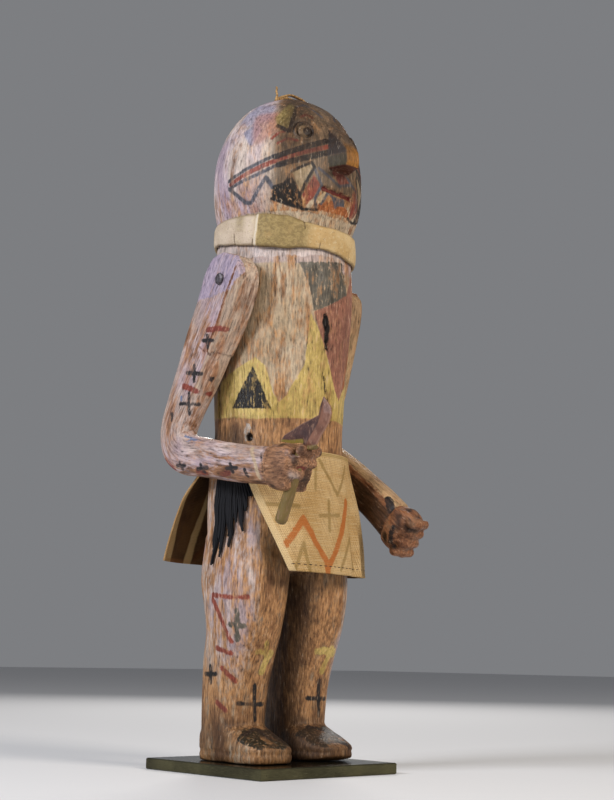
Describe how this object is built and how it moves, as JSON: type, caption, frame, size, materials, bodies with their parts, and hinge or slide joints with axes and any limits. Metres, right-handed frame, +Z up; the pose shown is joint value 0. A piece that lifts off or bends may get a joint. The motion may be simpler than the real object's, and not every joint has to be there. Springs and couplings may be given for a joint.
{
  "type": "kachina doll",
  "caption": "Carved and painted wooden kachina figure with a domed head, nailed bent arms, hide collar, canvas kilt and a small knife, standing on a square brass plate.",
  "frame": {"origin": "centre of the brass plate's underside", "axes": "+Z up through the figure, -Y the way the figure faces, +X toward the figure's left hand"},
  "size_m": [0.1185, 0.1478, 0.4073],
  "materials": {
    "plate_brass": "darkened, lightly scuffed",
    "painted_root": "worn mineral paint over wood",
    "painted_arm_right": "worn mineral paint over wood",
    "painted_arm_left": "worn mineral paint over wood",
    "nail_iron": "dull, hammered",
    "collar_hide": "dry, cracked and stained",
    "kilt_canvas": "coarse plain weave with painted lines",
    "painted_knife": "dull paint",
    "black_yarn": "coarse strands",
    "thong_hide": "dry"
  },
  "bodies": {
    "root": {"base_plate": "plate_brass", "figure_body": "painted_root", "arm_right": "painted_arm_right", "arm_left": "painted_arm_left", "nail_right": "nail_iron", "nail_left": "nail_iron", "collar": "collar_hide", "kilt": "kilt_canvas", "knife": "painted_knife", "hip_tuft": "black_yarn", "head_thong": "thong_hide"}
  },
  "joints": []
}
